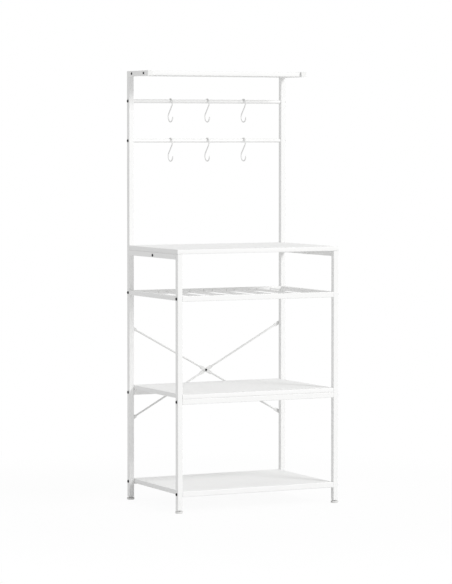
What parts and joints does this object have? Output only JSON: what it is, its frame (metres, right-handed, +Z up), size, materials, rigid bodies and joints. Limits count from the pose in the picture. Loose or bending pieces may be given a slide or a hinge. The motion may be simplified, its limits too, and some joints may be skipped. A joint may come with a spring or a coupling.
{
  "type": "kitchen shelf unit",
  "caption": "Tall open kitchen shelf unit in white: square tube frame, board shelves, waist-high worktop, wire rack, crossed rear braces and hook bars under a narrow top shelf.",
  "frame": {"origin": "on the floor, under the middle of the unit's outline", "axes": "+Z up, -Y towards the open front, +X to the right when seen from the front"},
  "size_m": [0.607, 0.414, 1.458],
  "materials": {
    "white_frame": "white satin powder coat",
    "white_board": "white satin laminate on fibreboard",
    "coated_rod": "white coated rod and wire",
    "dark_screw": "dark zinc",
    "plain_steel": "plain zinc",
    "plug_plastic": "white moulded",
    "foot_plastic": "white moulded"
  },
  "bodies": {
    "frame": {"rear_post_left": "white_frame", "rear_post_right": "white_frame", "front_post_left": "white_frame", "front_post_right": "white_frame", "worktop_side_rail_left": "white_frame", "worktop_side_rail_right": "white_frame", "rack_side_rail_left": "white_frame", "rack_side_rail_right": "white_frame", "top_arm_left": "white_frame", "top_arm_right": "white_frame", "rack_front_rail": "white_frame", "rack_rear_rail": "white_frame", "middle_shelf_front_rail": "white_frame", "middle_shelf_rear_rail": "white_frame", "bottom_shelf_front_rail": "white_frame", "bottom_shelf_rear_rail": "white_frame", "hook_bar_lower": "white_frame", "hook_bar_upper": "white_frame", "rack_wire_pair_1": "white_frame", "rack_wire_pair_2": "white_frame", "rack_wire_pair_3": "white_frame", "rack_wire_pair_4": "white_frame", "rack_wire_pair_5": "white_frame", "rack_wire_pair_6": "white_frame", "bottom_shelf_tabs": "white_frame", "worktop_cleats": "white_frame", "worktop": "white_board", "middle_shelf": "white_board", "bottom_shelf": "white_board", "top_shelf": "white_board", "brace_rod_rising": "coated_rod", "brace_rod_falling": "coated_rod", "frame_bolts": "dark_screw", "brace_end_screws": "dark_screw", "brace_centre_screw": "dark_screw", "worktop_cleat_bolts": "dark_screw", "top_shelf_screws": "dark_screw", "long_wood_screws": "dark_screw", "short_wood_screws": "dark_screw", "rail_end_nuts": "plain_steel", "slim_rail_end_nuts": "plain_steel", "hook_bar_end_nuts": "plain_steel", "brace_rivet_nuts": "plain_steel", "brace_centre_nut": "plain_steel", "tube_end_plugs": "plug_plastic", "foot_inserts": "plug_plastic"},
    "hook_lower_1_body": {"hook_lower_1": "coated_rod"},
    "hook_lower_2_body": {"hook_lower_2": "coated_rod"},
    "hook_lower_3_body": {"hook_lower_3": "coated_rod"},
    "hook_upper_1_body": {"hook_upper_1": "coated_rod"},
    "hook_upper_2_body": {"hook_upper_2": "coated_rod"},
    "hook_upper_3_body": {"hook_upper_3": "coated_rod"},
    "foot_front_left_body": {"foot_pad_front_left": "foot_plastic", "foot_stud_front_left": "plain_steel"},
    "foot_front_right_body": {"foot_pad_front_right": "foot_plastic", "foot_stud_front_right": "plain_steel"},
    "foot_rear_left_body": {"foot_pad_rear_left": "foot_plastic", "foot_stud_rear_left": "plain_steel"},
    "foot_rear_right_body": {"foot_pad_rear_right": "foot_plastic", "foot_stud_rear_right": "plain_steel"}
  },
  "joints": [
    {"name": "hook_lower_1_swing", "type": "hinge", "parent": "frame", "child": "hook_lower_1_body", "pos_m": [-0.14, 0.1875, 1.222], "axis": [1, 0, 0], "range_deg": [-75, 75]},
    {"name": "hook_lower_2_swing", "type": "hinge", "parent": "frame", "child": "hook_lower_2_body", "pos_m": [0, 0.1875, 1.222], "axis": [1, 0, 0], "range_deg": [-75, 75]},
    {"name": "hook_lower_3_swing", "type": "hinge", "parent": "frame", "child": "hook_lower_3_body", "pos_m": [0.14, 0.1875, 1.222], "axis": [1, 0, 0], "range_deg": [-75, 75]},
    {"name": "hook_upper_1_swing", "type": "hinge", "parent": "frame", "child": "hook_upper_1_body", "pos_m": [-0.14, 0.1875, 1.3565], "axis": [1, 0, 0], "range_deg": [-75, 75]},
    {"name": "hook_upper_2_swing", "type": "hinge", "parent": "frame", "child": "hook_upper_2_body", "pos_m": [0, 0.1875, 1.3565], "axis": [1, 0, 0], "range_deg": [-75, 75]},
    {"name": "hook_upper_3_swing", "type": "hinge", "parent": "frame", "child": "hook_upper_3_body", "pos_m": [0.14, 0.1875, 1.3565], "axis": [1, 0, 0], "range_deg": [-75, 75]},
    {"name": "foot_front_left_height", "type": "slide", "parent": "frame", "child": "foot_front_left_body", "axis": [0, 0, -1], "range_m": [-0.002, 0.012]},
    {"name": "foot_front_right_height", "type": "slide", "parent": "frame", "child": "foot_front_right_body", "axis": [0, 0, -1], "range_m": [-0.002, 0.012]},
    {"name": "foot_rear_left_height", "type": "slide", "parent": "frame", "child": "foot_rear_left_body", "axis": [0, 0, -1], "range_m": [-0.002, 0.012]},
    {"name": "foot_rear_right_height", "type": "slide", "parent": "frame", "child": "foot_rear_right_body", "axis": [0, 0, -1], "range_m": [-0.002, 0.012]}
  ]
}
